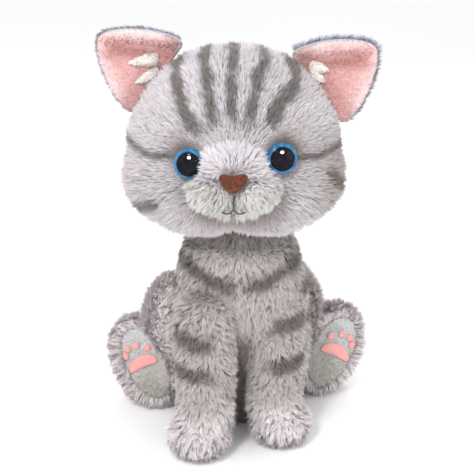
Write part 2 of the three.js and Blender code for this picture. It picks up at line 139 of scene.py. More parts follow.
LILAC_GREY = from_srgb(206, 200, 204)
PALE_FACE = from_srgb(219, 214, 218)
CHEEK_GREY = from_srgb(188, 180, 178)
SHADED_CHEEK = from_srgb(166, 158, 155)
BODY_GREY = from_srgb(198, 191, 189)
PAW_GREY = from_srgb(234, 227, 228)
MUZZLE_WHITE = from_srgb(210, 208, 205)
STRIPE_AND_SHADE = from_srgb(98, 91, 86)
SHADOW_BROWN = from_srgb(158, 143, 134)
BODY_STRIPE_AND_SHADE = from_srgb(112, 104, 98)
SOLE_GREY = from_srgb(234, 235, 236)
HEEL_GREY = from_srgb(218, 214, 207)
EAR_PINK = from_srgb(243, 196, 194)
# The ear lining's paler rim and its painted light, then its painted shadow
EAR_RIM_AND_LIT_PINK = from_srgb(250, 224, 223)
EAR_SHADOW_PINK = from_srgb(186, 122, 114)
EAR_FRINGE = from_srgb(222, 226, 238)
TUFT_CREAM = from_srgb(252, 246, 240)

# The dark and the light colour of each plain material
FILL_COLOURS = (0.72, 0.71, 0.68), (0.9, 0.89, 0.86)
CALICO_COLOURS = (0.5, 0.47, 0.4), (0.74, 0.7, 0.62)
NYLON_COLOURS = (0.68, 0.68, 0.66), (0.8, 0.8, 0.78)
PUPIL_COLOURS = (0.001, 0.001, 0.0015), (0.003, 0.003, 0.004)
SEAT_COLOURS = from_srgb(150, 146, 148), from_srgb(176, 172, 174)
IRIS_COLOURS = from_srgb(26, 86, 132), from_srgb(58, 130, 178)
NOSE_COLOURS = from_srgb(64, 29, 17), from_srgb(112, 56, 34)
THREAD_COLOURS = from_srgb(60, 44, 40), from_srgb(88, 66, 58)
PAD_COLOURS = from_srgb(226, 146, 142), from_srgb(240, 172, 166)
FELT_COLOURS = from_srgb(214, 196, 180), from_srgb(236, 222, 208)

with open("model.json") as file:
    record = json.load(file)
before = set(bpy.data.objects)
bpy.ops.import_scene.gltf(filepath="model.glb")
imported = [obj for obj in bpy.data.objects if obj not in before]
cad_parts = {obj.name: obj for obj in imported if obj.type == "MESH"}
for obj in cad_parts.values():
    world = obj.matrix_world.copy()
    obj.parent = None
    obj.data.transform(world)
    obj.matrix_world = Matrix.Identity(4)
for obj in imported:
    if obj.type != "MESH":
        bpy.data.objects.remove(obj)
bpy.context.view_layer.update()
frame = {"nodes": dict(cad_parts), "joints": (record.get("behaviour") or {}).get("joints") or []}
scene = bpy.context.scene
joints = {joint["name"]: joint for joint in frame["joints"]}


# Small helpers


def middle(node):
    """The centre of a CAD node's box, in millimetres."""
    low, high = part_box(node)
    return np.array((low + high) / 2) / MM


def pivot(joint):
    return np.array(joints[joint]["pos_m"]) / MM


NECK = pivot("head_turn")
HEAD = NECK + np.array(HEAD_OFFSET_FROM_NECK)


def unit(vectors):
    length = np.linalg.norm(vectors, axis=-1, keepdims=True)
    return vectors / np.maximum(length, 1e-9)


def smooth_step(value, low, high):
    share = np.clip((value - low) / (high - low), 0, 1)
    return share * share * (3 - 2 * share)


def mix(first, second, share):
    share = np.asarray(share)[..., None]
    return np.asarray(first) * (1 - share) + np.asarray(second) * share


def waves(points, size, seed):
    """Smooth values from about -1 to 1 that vary over about size millimetres."""
    rng = np.random.default_rng(seed)
    total = np.zeros(len(points))
    count = 6
    for _ in range(count):
        direction = unit(rng.normal(size=3))
        wave_length = size * rng.uniform(0.8, 2.2)
        total += np.sin(points @ direction * (2 * math.pi / wave_length) + rng.uniform(0, 2 * math.pi))
    return total / math.sqrt(2 * count)


def on_side(side, point, outward=0):
    """A right-hand leg point moved to its side."""
    sign = SIDES[side]
    return np.array([sign * (point[0] + outward), point[1] - LEG_FORWARD[side], point[2]])


def sole_frame(side):
    sign = SIDES[side]
    turn = Matrix.Rotation(math.radians(sign * SOLE_YAW), 4, "Z")
    turn = turn @ Matrix.Rotation(math.radians(SOLE_PITCH), 4, "X")
    turn = turn @ Matrix.Rotation(math.radians(sign * SOLE_TILT), 4, "Y")
    return Matrix.Translation(Vector(on_side(side, SOLE_CENTRE))) @ turn


def ear_frame(side):
    root = pivot(f"ear_{side}_fold")
    return Matrix.Translation(Vector(root)) @ Matrix.Rotation(math.radians(SIDES[side] * EAR_TILT), 4, "Y")


def eye_frame(side):
    ring = frame["nodes"][f"eye_ring_{side}"]
    points = mesh_points(ring.data)
    yaw = math.radians(SIDES[side] * EYE_YAW)
    forward = np.array([math.sin(yaw), -math.cos(yaw), 0])
    depth = points @ forward
    back = points[depth < depth.min() + 0.01].mean(0)
    return Matrix.Translation(Vector(back)) @ Matrix.Rotation(yaw, 4, "Z")


def mesh_points(mesh):
    points = np.empty(len(mesh.vertices) * 3)
    mesh.vertices.foreach_get("co", points)
    return points.reshape(-1, 3) / MM


def set_points(mesh, points):
    mesh.vertices.foreach_set("co", (points * MM).ravel())
    mesh.update()


def apply_frame(matrix, points):
    array = np.array(matrix)
    return points @ array[:3, :3].T + array[:3, 3]


def into_frame(matrix, points):
    return apply_frame(matrix.inverted(), points)


def ahead(matrix, normals):
    """How directly each normal faces the front of a flat piece, from -1 to 1."""
    return normals @ np.array(matrix)[:3, :3] @ np.array([0, -1.0, 0])


def one_way(*direction):
    """A comb that lays all fur the same way."""

    def comb(points):
        return np.broadcast_to(np.array(direction, float), points.shape)

    return comb


def add_object(name, mesh, surface):
    mesh.materials.append(surface)
    mesh.shade_smooth()
    item = bpy.data.objects.new(name, mesh)
    scene.collection.objects.link(item)
    return item


# Materials


def new_material(name, roughness, specular=0.3, sheen=0.0):
    surface = bpy.data.materials.new(name)
    surface.use_nodes = True
    shader = surface.node_tree.nodes["Principled BSDF"]
    shader.inputs["Roughness"].default_value = roughness
    shader.inputs["Specular IOR Level"].default_value = specular
    shader.inputs["Sheen Weight"].default_value = sheen
    shader.inputs["Sheen Roughness"].default_value = 0.6
    return surface, surface.node_tree, shader


def texture(tree, kind, scale, detail=2.0):
    """A procedural texture in the object's own coordinates; scale is in features per metre."""
    coordinates = tree.nodes.new("ShaderNodeTexCoord")
    pattern = tree.nodes.new(kind)
    pattern.inputs["Scale"].default_value = scale
    if "Detail" in pattern.inputs:
        pattern.inputs["Detail"].default_value = detail
    tree.links.new(coordinates.outputs["Object"], pattern.inputs["Vector"])
    return pattern


def tint(tree, shader, dark, light, factor, low=0.3, high=0.7):
    """Links the base colour to a ramp between two colours."""
    ramp = tree.nodes.new("ShaderNodeValToRGB")
    ramp.color_ramp.elements[0].position = low
    ramp.color_ramp.elements[1].position = high
    ramp.color_ramp.elements[0].color = (*dark, 1)
    ramp.color_ramp.elements[1].color = (*light, 1)
    tree.links.new(factor, ramp.inputs["Fac"])
    tree.links.new(ramp.outputs["Color"], shader.inputs["Base Color"])


def add_bump(tree, shader, height, strength, distance):
    bump = tree.nodes.new("ShaderNodeBump")
    bump.inputs["Strength"].default_value = strength
    bump.inputs["Distance"].default_value = distance * MM
    tree.links.new(height, bump.inputs["Height"])
    tree.links.new(bump.outputs["Normal"], shader.inputs["Normal"])


def spread_between(tree, factor, low, high):
    """A factor from 0 to 1, spread over a range."""
    spread = tree.nodes.new("ShaderNodeMapRange")
    spread.inputs["To Min"].default_value = low
    spread.inputs["To Max"].default_value = high
    tree.links.new(factor, spread.inputs["Value"])
    return spread.outputs["Result"]


def painted_material(name, roughness, sheen, grain_scale, grain, bump_strength):
    """Takes its colour from the mesh's own fur_colour, broken up by fine grain."""
    surface, tree, shader = new_material(name, roughness, specular=0.15, sheen=sheen)
    colour = tree.nodes.new("ShaderNodeAttribute")
    colour.attribute_name = "fur_colour"
    noise = texture(tree, "ShaderNodeTexNoise", grain_scale)
    grey = spread_between(tree, noise.outputs["Fac"], 1 - grain, 1 + grain)
    scaled = tree.nodes.new("ShaderNodeVectorMath")
    scaled.operation = "SCALE"
    tree.links.new(colour.outputs["Color"], scaled.inputs[0])
    tree.links.new(grey, scaled.inputs["Scale"])
    tree.links.new(scaled.outputs["Vector"], shader.inputs["Base Color"])
    if bump_strength:
        add_bump(tree, shader, noise.outputs["Fac"], bump_strength, 0.4)
    return surface


def cloth_material(name, dark, light, scale, bump_strength, roughness=0.9, sheen=0.2):
    surface, tree, shader = new_material(name, roughness, sheen=sheen)
    factor = texture(tree, "ShaderNodeTexNoise", scale, detail=4).outputs["Fac"]
    tint(tree, shader, dark, light, factor)
    uneven = spread_between(tree, factor, roughness, min(1, roughness + 0.08))
    tree.links.new(uneven, shader.inputs["Roughness"])
    add_bump(tree, shader, factor, bump_strength, 0.5)
    return surface


def weave_material(name, dark, light, threads_per_metre):
    surface, tree, shader = new_material(name, 0.85, sheen=0.15)
    across = texture(tree, "ShaderNodeTexWave", threads_per_metre)
    upward = texture(tree, "ShaderNodeTexWave", threads_per_metre)
    upward.bands_direction = "Z"
    product = tree.nodes.new("ShaderNodeMath")
    product.operation = "MULTIPLY"
    tree.links.new(across.outputs["Fac"], product.inputs[0])
    tree.links.new(upward.outputs["Fac"], product.inputs[1])
    tint(tree, shader, dark, light, product.outputs["Value"], 0.1, 0.9)
    add_bump(tree, shader, product.outputs["Value"], 0.5, 0.3)
    return surface


def moulded_material(name, dark, light, roughness, specular):
    surface, tree, shader = new_material(name, roughness, specular=specular)
    noise = texture(tree, "ShaderNodeTexNoise", 400)
    tint(tree, shader, dark, light, noise.outputs["Fac"])
    return surface


def make_materials():
    return {
        "fur": painted_material("plush_fur", 0.85, 0.25, 900, 0.1, 0),
        "backing": painted_material("plush_backing", 0.95, 0.1, 700, 0.18, 0.6),
        "ear_pile": painted_material("ear_pile", 0.8, 0.4, 1200, 0.08, 0.2),
        "stuffing": cloth_material("polyester_fill", *FILL_COLOURS, 260, 0.8),
        "pellet_cloth": weave_material("bag_calico", *CALICO_COLOURS, 900),
        "seat": cloth_material("seat_suedette", *SEAT_COLOURS, 1400, 0.5),
        "washer": moulded_material("washer_nylon", *NYLON_COLOURS, 0.4, 0.5),
        "pupil": moulded_material("pupil_plastic", *PUPIL_COLOURS, 0.05, 0.08),
        "iris": moulded_material("iris_plastic", *IRIS_COLOURS, 0.2, 0.3),
        "suede": cloth_material("nose_suede", *NOSE_COLOURS, 900, 0.9, 0.85, 0.1),
        "thread": cloth_material("mouth_thread", *THREAD_COLOURS, 2200, 0.8, 0.7),
        "satin": cloth_material("pad_satin", *PAD_COLOURS, 2600, 0.5, 0.42),
        "felt": cloth_material("ear_felt", *FELT_COLOURS, 1500, 0.7),
    }


materials = make_materials()


# Fabric covers


def egg(centre, radii, turn=None):
    matrix = Matrix.Translation(Vector(centre))
    if turn is not None:
        matrix = matrix @ turn
    return matrix @ Matrix.Diagonal((*radii, 1))


def limb(start, start_radius, end, end_radius, steps=14):
    """Balls close together along a line, which the remesh joins into a tapered limb."""
    shares = np.linspace(0, 1, steps)
    start, end = np.array(start, float), np.array(end, float)
    radii = start_radius + (end_radius - start_radius) * shares
    return [egg(start + (end - start) * share, (radius,) * 3) for share, radius in zip(shares, radii)]


def soft_cover(name, eggs, body, nodes, colour, voxel=1.5, smoothing=10, reshape=None):
    """One smooth closed cover round overlapping eggs, which stands for its CAD nodes."""
    builder = bmesh.new()
    for matrix in eggs:
        bmesh.ops.create_uvsphere(builder, u_segments=40, v_segments=24, radius=1, matrix=matrix)
    rough = bpy.data.meshes.new(name + "_rough")
    builder.to_mesh(rough)
    builder.free()
    rough.transform(Matrix.Scale(MM, 4))
    item = bpy.data.objects.new(name, rough)
    scene.collection.objects.link(item)
    remesh = item.modifiers.new("join", "REMESH")
    remesh.mode = "VOXEL"
    remesh.voxel_size = voxel * MM
    relax = item.modifiers.new("relax", "SMOOTH")
    relax.factor = 0.5
    relax.iterations = smoothing
    graph = bpy.context.evaluated_depsgraph_get()
    mesh = bpy.data.meshes.new_from_object(item.evaluated_get(graph))
    item.modifiers.clear()
    item.data = mesh
    points = mesh_points(mesh)
    if reshape:
        points = reshape(points)
    points[:, 2] = np.maximum(points[:, 2], FLOOR_CLEARANCE)
    set_points(mesh, points)
    # painted shade: the cover under the fur is darkened by BACKING_SHADE
    paint(mesh, colour(points) * BACKING_SHADE)
    mesh.materials.append(materials["backing"])
    mesh.shade_smooth()
    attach(item, body)
    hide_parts(*nodes)
    return item


def paint(mesh, colours):
    layer = mesh.color_attributes.new("fur_colour", "FLOAT_COLOR", "POINT")
    full = np.ones((len(colours), 4), np.float32)
    full[:, :3] = np.clip(colours, 0, 1)
    layer.data.foreach_set("color", full.ravel())


# Stripes


def line_distance(points, line):
    """The distance from each point to a line through several points."""
    nearest = np.full(len(points), 1e9)
    for start, end in zip(line[:-1], line[1:]):
        start, step = np.array(start, float), np.array(end, float) - np.array(start, float)
        share = np.clip((points - start) @ step / max(step @ step, 1e-9), 0, 1)
        nearest = np.minimum(nearest, np.linalg.norm(points - start - share[:, None] * step, axis=1))
    return nearest


def stripe_share(points, lines, softness=2.2, seed=5):
    """How much of the stripe colour each point has, from 0 to 1, with ragged soft edges."""
    ragged = 0.4 * waves(points, 7, seed) + 0.3 * waves(points, 3, seed + 1)
    share = np.zeros(len(points))
    for half_width, line in lines:
        distance = line_distance(points, line) + ragged * half_width
        inside, outside = half_width - softness / 2, half_width + softness
        share = np.maximum(share, 1 - smooth_step(distance, inside, outside))
    return share


def around_head(longitude, latitude):
    """A point on the stripe ball; longitude 0 is the face and 90 the +X side."""
    longitude, latitude = math.radians(longitude), math.radians(latitude)
    flat = math.cos(latitude)
    direction = [math.sin(longitude) * flat, -math.cos(longitude) * flat, math.sin(latitude)]
    return STRIPE_BALL * np.array(direction)


# Each stripe: half-width in millimetres, then (longitude, latitude) places on the head
HEAD_STRIPES = [
    (2.5, [(0, 24), (-2, 38), (-2, 51), (-3, 70), (0, 82), (180, 78), (180, 55), (180, 30)]),
    (2.7, [(-14, 24), (-19, 36), (-33, 57), (-82, 72), (-150, 62), (-163, 35), (-166, 15)]),
    (3.1, [(-22, 17), (-37, 29), (-55, 43), (-84, 55), (-120, 50), (-140, 30)]),
    (2.7, [(8, 22), (17, 39), (26, 55), (57, 66), (150, 62), (163, 35), (166, 15)]),
    (3.3, [(26, 24), (39, 36), (59, 42), (86, 54), (120, 50), (140, 30)]),
    (1.5, [(-38, 2), (-56, 0), (-78, 3), (-100, 2), (-120, 4)]),
    (1.4, [(39, 2), (54, -1), (78, 1), (100, -4), (120, 4)]),
    (1.9, [(-50, -24), (-64, -29), (-85, -26), (-105, -20)]),
    (2.0, [(60, -12), (74, -20), (90, -24), (105, -20)]),
    (1.6, [(-94, 16), (-110, 18)]),
    (1.6, [(94, 16), (110, 18)]),
]
HEAD_STRIPE_LINES = [(half, [around_head(*place) for place in line]) for half, line in HEAD_STRIPES]


def head_colour(points):
    local = points - HEAD
    ball = unit(local) * STRIPE_BALL
    colour = mix(LILAC_GREY, PALE_FACE, 1 - smooth_step(np.linalg.norm(local - NOSE_TIP, axis=1), 12, 30))
    cheek = smooth_step(np.abs(local[:, 0]), 26, 46) * (1 - smooth_step(local[:, 2], -8, 16))
    colour = mix(colour, CHEEK_GREY, 0.35 * cheek)
    colour = mix(colour, SHADED_CHEEK, 0.85 * cheek * (local[:, 0] > 0))
    share = stripe_share(ball, HEAD_STRIPE_LINES, softness=2.6, seed=11)
    share = share * smooth_step(np.linalg.norm(local - NOSE_TIP, axis=1), 22, 34)
    eyes = np.minimum(*[np.linalg.norm(points - EYES[side], axis=1) for side in SIDES])
    upper_outer = smooth_step(local[:, 2] + 0.5 * np.abs(local[:, 0]), 8, 20)
    # Round each eye: partly the dark fur marking at the upper outer lid, partly painted shade in the eye's
    # socket
    lid_marking_and_socket_shade = (1 - smooth_step(eyes, 7.5, 12)) * (0.3 + 0.7 * upper_outer)
    brow_shade = (1 - smooth_step(eyes, 9, 17)) * upper_outer * smooth_step(np.abs(local[:, 0]), 16, 24)
    from_chin = np.linalg.norm((local - np.array([0, -36, -19])) / np.array([1.4, 1, 1]), axis=1)
    under_muzzle_shade = 1 - smooth_step(from_chin, 9, 20)
    # Painted shade in brown: above each eye's outer corner and under the overhanging muzzle
    colour = mix(colour, SHADOW_BROWN, np.maximum(0.55 * under_muzzle_shade, 0.6 * brow_shade))
    return mix(colour, STRIPE_AND_SHADE, np.maximum(0.85 * share, 0.8 * lid_marking_and_socket_shade))


def muzzle_colour(points):
    local = points - HEAD
    on_pads = 1 - smooth_step(local[:, 2], -9, -4)
    colour = mix(PALE_FACE, MUZZLE_WHITE, on_pads)
    colour = mix(colour, LILAC_GREY, 0.6 * smooth_step(-local[:, 2], 18.5, 22))
    # painted shade in the parting between the whisker pads, below the nose
    split = (1 - smooth_step(np.abs(local[:, 0]), 0.2, 1.3)) * smooth_step(-local[:, 2], 10, 13)
    return mix(colour, STRIPE_AND_SHADE, 0.6 * split)


def ring_line(height, dip, start, end):
    """A level line round the body from angle start to end; dip lowers it at the front."""
    line = []
    for angle in np.linspace(start, end, 14):
        turn = math.radians(angle)
        radius = np.interp(height, [z for _, z in BODY_OUTLINE], [r for r, _ in BODY_OUTLINE])
        lowered = height - dip * max(0, math.cos(turn)) ** 3
        middle_y = -BODY_LEAN * lowered
        line.append((radius * math.sin(turn), middle_y - radius * BODY_DEPTH * math.cos(turn), lowered))
    return line


# Bands round the body: height, dip at the front, and the angles from the front where each starts and ends
BODY_BANDS = [(91, 8, 9, 120), (74, 0, 80, 140), (58, 0, 88, 145), (42, 0, 95, 150), (26, 0, 100, 155)]
BODY_STRIPES = [
    (3.1, ring_line(height, dip, sign * start, sign * end))
    for height, dip, start, end in BODY_BANDS for sign in SIDES.values()
]
BODY_STRIPES.append((2.4, [(0, 30, 20), (0, 18, 45), (0, 10, 70), (0, 0, 92)]))


def body_colour(points):
    share = 0.95 * stripe_share(points, BODY_STRIPES, softness=3.6, seed=21)
    # Just under the head: a dark stripe, darkened further by painted shadow under the chin
    under_chin_stripe_and_shadow = 0.75 * smooth_step(points[:, 2], 99, 106)
    # painted shade in the gap between the front legs
    between_legs_shade = (1 - smooth_step(np.abs(points[:, 0]), 3, 9)) * (1 - smooth_step(points[:, 2], 50, 62))
    between_legs_shade = 0.9 * between_legs_shade * (points[:, 1] < -BODY_LEAN * points[:, 2])
    return mix(BODY_GREY, BODY_STRIPE_AND_SHADE, np.maximum(np.maximum(share, under_chin_stripe_and_shadow), between_legs_shade))


def neck_colour(points):
    # Darker than the body: partly the dark band under the chin, partly painted shadow under the head
    return mix(BODY_GREY, BODY_STRIPE_AND_SHADE, 0.55 + 0.25 * waves(points, 9, 25))


def front_leg_colour(side):
    sign = SIDES[side]
    centre = on_side(side, ((SHOULDER[0] + WRIST[0]) / 2, 0, 0))[0]
    heights = {"left": (58, 43), "right": (60, 42)}[side]

    def colour(points):
        outward = sign * (points[:, 0] - centre)
        inner = smooth_step(outward, -7, 1)
        ragged = 1.3 * waves(points, 9, 31) + 0.6 * waves(points, 4, 32)
        share = np.zeros(len(points))
        for height in heights:
            offset = np.abs(points[:, 2] - height - 0.12 * outward + ragged)
            share = np.maximum(share, 1 - smooth_step(offset, 2.4, 5))
        base = mix(PAW_GREY, BODY_GREY, smooth_step(points[:, 2], 18, 30))
        return mix(base, BODY_STRIPE_AND_SHADE, 0.9 * share * inner)

    return colour


def hind_leg_colour(side):
    def colour(points):
        local = into_frame(sole_frame(side), points)
        ragged = 1.5 * waves(points, 9, 41) + 0.6 * waves(points, 4, 42)
        share = np.zeros(len(points))
        for height in (30, 43, 56):
            share = np.maximum(share, 1 - smooth_step(np.abs(points[:, 2] - height + ragged), 1.8, 4.4))
        on_thigh = smooth_step(local[:, 1], 16, 22)
        behind = smooth_step(points[:, 1], 2, 12)
        return mix(mix(PAW_GREY, BODY_GREY, 0.4 * on_thigh), BODY_STRIPE_AND_SHADE, 0.7 * share * on_thigh * behind)

    return colour


def tail_colour(points):
    path = np.array(TAIL_PATH, float)
    along = path[-1] - path[0]
    share = (points - path[0]) @ unit(along) + 1.2 * waves(points, 8, 51)
    ring = 0.5 + 0.5 * np.cos(share * 2 * math.pi / 13)
    return mix(BODY_GREY, BODY_STRIPE_AND_SHADE, 0.85 * smooth_step(ring, 0.45, 0.85))


# Fur


def sample_skin(mesh, density, rng):
    """Points spread evenly over a mesh, with the smooth normal at each."""
    mesh.calc_loop_triangles()
    corners = np.empty(len(mesh.loop_triangles) * 3, np.int32)
    mesh.loop_triangles.foreach_get("vertices", corners)
    corners = corners.reshape(-1, 3)
    points = mesh_points(mesh)
    normals = np.empty(len(mesh.vertices) * 3)
    mesh.vertices.foreach_get("normal", normals)
    normals = normals.reshape(-1, 3)
    first, second, third = points[corners[:, 0]], points[corners[:, 1]], points[corners[:, 2]]
    area = np.linalg.norm(np.cross(second - first, third - first), axis=1) / 2
    count = int(area.sum() * density)
    chosen = corners[rng.choice(len(corners), count, p=area / area.sum())]
    u, v = rng.random((2, count))
    outside = u + v > 1
    u[outside], v[outside] = 1 - u[outside], 1 - v[outside]
    weights = np.stack([1 - u - v, u, v], 1)[:, :, None]
    return (points[chosen] * weights).sum(1), unit((normals[chosen] * weights).sum(1))


def clump_index(roots, spacing, rng):
    """Which nearby root each strand leans towards, at about one in every spacing squared."""
    area_share = min(1.0, 60 / max(len(roots), 1) + 1 / (spacing * spacing * 2.2))
    centres = np.flatnonzero(rng.random(len(roots)) < area_share)
    if not len(centres):
        centres = np.array([0])
    tree = kdtree.KDTree(len(centres))
    for index, centre in enumerate(centres):
        tree.insert(roots[centre], index)
    tree.balance()
    return np.array([centres[tree.find(root)[1]] for root in roots])


ROW_SHARES = np.array([0, 0.55, 1.0])
ROW_WIDTHS = np.array([1.0, 0.9, 0.0])
# Brightness along each strand: the darker roots are painted shade among the strands; the tips are lighter
ROW_ROOT_SHADE_TO_TIP = np.array([0.76, 0.99, 1.1])


def grow(roots, normals, comb, length, width, lean, spread, clump, spacing, rng):
    """Strand ribbons: rows of centre points, their side vectors and their soft normals."""
    count = len(roots)
    along = unit(comb - (comb * normals).sum(1)[:, None] * normals + rng.normal(size=(count, 3)) * 0.02)
    owner = clump_index(roots, spacing, rng)
    clump_turn = rng.normal(size=count) * math.radians(spread)
    clump_lean = rng.normal(size=count) * 9
    clump_length = rng.uniform(0.82, 1.12, count)
    turn = clump_turn[owner] + rng.normal(size=count) * math.radians(spread * 0.45)
    side = np.cross(normals, along)
    along = along * np.cos(turn)[:, None] + side * np.sin(turn)[:, None]
    side = np.cross(normals, along)
    start_lean = np.radians(np.clip(lean[0] + clump_lean[owner] + rng.normal(size=count) * 7, 2, 80))
    end_lean = np.radians(np.clip(lean[1] + clump_lean[owner] + rng.normal(size=count) * 9, 8, 98))
    full = length * clump_length[owner] * rng.uniform(0.72, 1.08, count)
    rows = [roots - normals * 0.3]
    directions = []
    for before, after in zip(ROW_SHARES[:-1], ROW_SHARES[1:]):
        angle = start_lean + (end_lean - start_lean) * (before + after) / 2
        direction = np.cos(angle)[:, None] * normals + np.sin(angle)[:, None] * along
        directions.append(direction)
        rows.append(rows[-1] + direction * (full * (after - before))[:, None])
    directions.append(directions[-1])
    towards = (roots[owner] - roots) * clump
    rows = [row + towards * share**1.5 for row, share in zip(rows, ROW_SHARES)]
    twist = rng.uniform(-1, 1, count) * math.radians(40)
    sides, soft = [], []
    for direction, row_width in zip(directions, ROW_WIDTHS):
        face = np.cross(side, direction)
        across = side * np.cos(twist)[:, None] + face * np.sin(twist)[:, None]
        sides.append(across * (width * row_width / 2)[:, None])
        outward = np.cross(direction, across)
        outward *= np.sign((outward * normals).sum(1))[:, None]
        soft.append(unit(normals * 0.5 + outward * 0.6 + rng.normal(size=(count, 3)) * 0.08))
    return rows, sides, soft


STRAND_FACES = np.array([[0, 1, 3], [0, 3, 2], [2, 3, 4]])
STRAND_ROWS = np.array([0, 0, 1, 1, 2])
STRAND_SIGNS = np.array([-1, 1, -1, 1, 0])
STRAND_POINTS = len(STRAND_ROWS)


def ribbon_mesh(name, rows, sides, soft, colours):
    """One mesh of all strands, wound outwards, with a bake cell of its own for each strand."""
    count = len(rows[0])
    points = np.stack([rows[row] + sign * sides[row] for row, sign in zip(STRAND_ROWS, STRAND_SIGNS)], 1)
    points[:, :, 2] = np.maximum(points[:, :, 2], FLOOR_CLEARANCE)
    normals = np.stack([soft[row] for row in STRAND_ROWS], 1)
    first_face = np.cross(points[:, 1] - points[:, 0], points[:, 3] - points[:, 0])
    inward = (first_face * normals[:, 0]).sum(1) < 0
    faces = np.tile(STRAND_FACES, (count, 1, 1))
    faces[inward] = faces[inward][:, :, ::-1]
    local = faces.copy()
    faces = faces + (np.arange(count) * STRAND_POINTS)[:, None, None]
    face_count = count * len(STRAND_FACES)
    mesh = bpy.data.meshes.new(name)
    mesh.vertices.add(count * STRAND_POINTS)
    mesh.vertices.foreach_set("co", (points * MM).ravel())
    mesh.loops.add(face_count * 3)
    mesh.loops.foreach_set("vertex_index", faces.ravel().astype(np.int32))
    mesh.polygons.add(face_count)
    mesh.polygons.foreach_set("loop_start", np.arange(0, face_count * 3, 3, dtype=np.int32))
    mesh.update(calc_edges=True)
    # painted shade at each strand's root, lighter towards its tip
    root_shade_to_tip = ROW_ROOT_SHADE_TO_TIP[STRAND_ROWS][None, :, None]
    paint(mesh, (colours[:, None, :] * root_shade_to_tip).reshape(-1, 3))
    cells = math.ceil(math.sqrt(count))
    column, line = np.arange(count) % cells, np.arange(count) // cells
    across = 0.5 + 0.22 * STRAND_SIGNS[local]
    upward = 0.2 + 0.6 * ROW_SHARES[STRAND_ROWS[local]]
    layer = mesh.uv_layers.new(name="OFBake")
    uv = np.stack([(column[:, None, None] + across) / cells, (line[:, None, None] + upward) / cells], -1)
    layer.data.foreach_set("uv", uv.reshape(-1).astype(np.float32))
    mesh.shade_smooth()
    mesh.normals_split_custom_set_from_vertices(normals.reshape(-1, 3))
    return mesh


def fur(name, cover, body, colour, comb, length, density, seed, keep=None, lean=(24, 66), width=0.28,
        spread=26, clump=0.4, spacing=2.3, split=None, surface="fur"):
    """Fur over a cover. length is a number or a function of the roots; keep says which roots stay."""
    rng = np.random.default_rng(seed)
    roots, normals = sample_skin(cover.data, density, rng)
    if keep is not None:
        stay = keep(roots, normals)
        roots, normals = roots[stay], normals[stay]
    lengths = length(roots) if callable(length) else np.full(len(roots), float(length))
    widths = width * rng.uniform(0.75, 1.2, len(roots))
    rows, sides, soft = grow(
        roots, normals, comb(roots), lengths, widths, lean, spread, clump, spacing, rng
    )
    tone = 1 + 0.07 * rng.normal(size=len(roots)) + 0.04 * waves(roots, 14, seed)
    tone = tone + 0.05 * waves(roots, 5, seed + 1)
    colours = colour(roots) * tone[:, None]
    parts = {"": np.ones(len(roots), bool)} if split is None else split(roots)
    made = []
    for suffix, chosen in parts.items():
        mesh = ribbon_mesh(
            name + suffix,
            [row[chosen] for row in rows],
            [side[chosen] for side in sides],
            [normal[chosen] for normal in soft],
            colours[chosen],
        )
        item = add_object(name + suffix, mesh, materials[surface])
        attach(item, body)
        made.append(item)
        print(name + suffix, int(chosen.sum()), "strands")
    return made


# Small crowned pieces: closed pads, domes and plates in their own flat frame


def crowned(name, outline, profile, matrix, surface, warp=None):
    """A closed form: outline is (across, up), and profile is (share of outline, depth) from front to back."""
    outline = np.array(outline, float)
    centre = outline.mean(0)
    points = []
    for share, depth in profile:
        ring = centre + (outline - centre) * share
        if share == 0:
            ring = centre[None, :]
        points += [(a, depth, b) for a, b in ring]
    points = np.array(points, float)
    if warp:
        points = warp(points)
    count = len(outline)
    faces = []
    starts = np.cumsum([0] + [1 if share == 0 else count for share, _ in profile])
    for ring in range(len(profile) - 1):
        for index in range(count):
            following = (index + 1) % count
            here, there = starts[ring], starts[ring + 1]
            before = [here] if profile[ring][0] == 0 else [here + index, here + following]
            after = [there] if profile[ring + 1][0] == 0 else [there + following, there + index]
            faces.append([int(value) for value in before + after])
    mesh = bpy.data.meshes.new(name)
    mesh.from_pydata((apply_frame(matrix, points) * MM).tolist(), [], faces)
    builder = bmesh.new()
    builder.from_mesh(mesh)
    bmesh.ops.recalc_face_normals(builder, faces=builder.faces)
    builder.to_mesh(mesh)
    builder.free()
    return add_object(name, mesh, surface)


def dome_profile(height, thickness, edge=0.5, rings=8):
    """A rounded front that rises by height, a rolled edge, and a flat back."""
    front = [(math.sin(angle), -thickness - height * math.cos(angle))
             for angle in np.linspace(0, math.pi / 2, rings)]
    front[0] = (0, front[0][1])
    return [*front, (1.0, -thickness * edge), (0.96, 0), (0.5, 0), (0, 0)]


def oval(across, up, count=40):
    return [(across * math.cos(angle), up * math.sin(angle))
            for angle in np.linspace(0, 2 * math.pi, count, endpoint=False)]


def mirrored(outline, sign):
    return [(sign * a, b) for a, b in outline]


def place(item, body, slot, *nodes):
    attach(item, body)
    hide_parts(*nodes)
    return item


def subdivided(item, levels=1):
    divide = item.modifiers.new("rounder", "SUBSURF")
    divide.levels = levels
    divide.render_levels = levels
    return item


# Camera, light and floor


